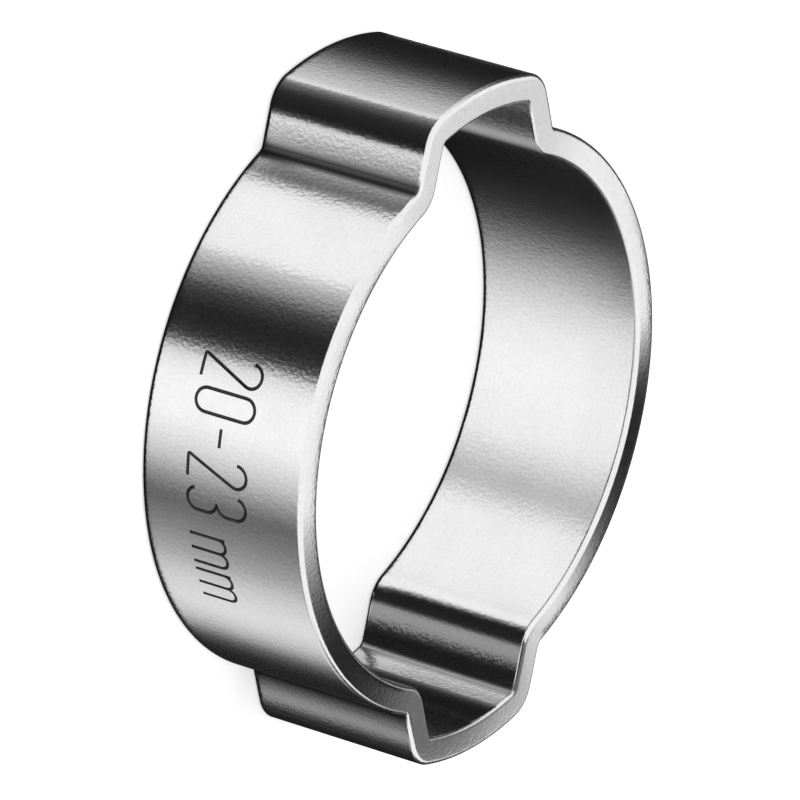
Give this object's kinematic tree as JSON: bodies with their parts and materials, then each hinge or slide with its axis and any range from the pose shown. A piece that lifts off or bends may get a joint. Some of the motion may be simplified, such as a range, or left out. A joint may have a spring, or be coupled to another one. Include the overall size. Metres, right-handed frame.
{
  "type": "ear hose clamp",
  "caption": "Ear hose clamp: a seamless ring of steel strip with hollow ears pressed out on opposite sides, which pincers pinch shut to draw the ring tight round a hose.",
  "frame": {"origin": "centre of the bore, on the plane of the lower rim", "axes": "+Z along the bore axis, away from the rim that the clamp lies on; the ears point along +Y and -Y; +X is across them"},
  "size_m": [0.0254, 0.0302, 0.0082],
  "materials": {
    "plated_steel": "bright zinc plate over cold rolled strip, with a fine grain along the band"
  },
  "bodies": {
    "root": {"clamp_band": "plated_steel"}
  },
  "joints": []
}
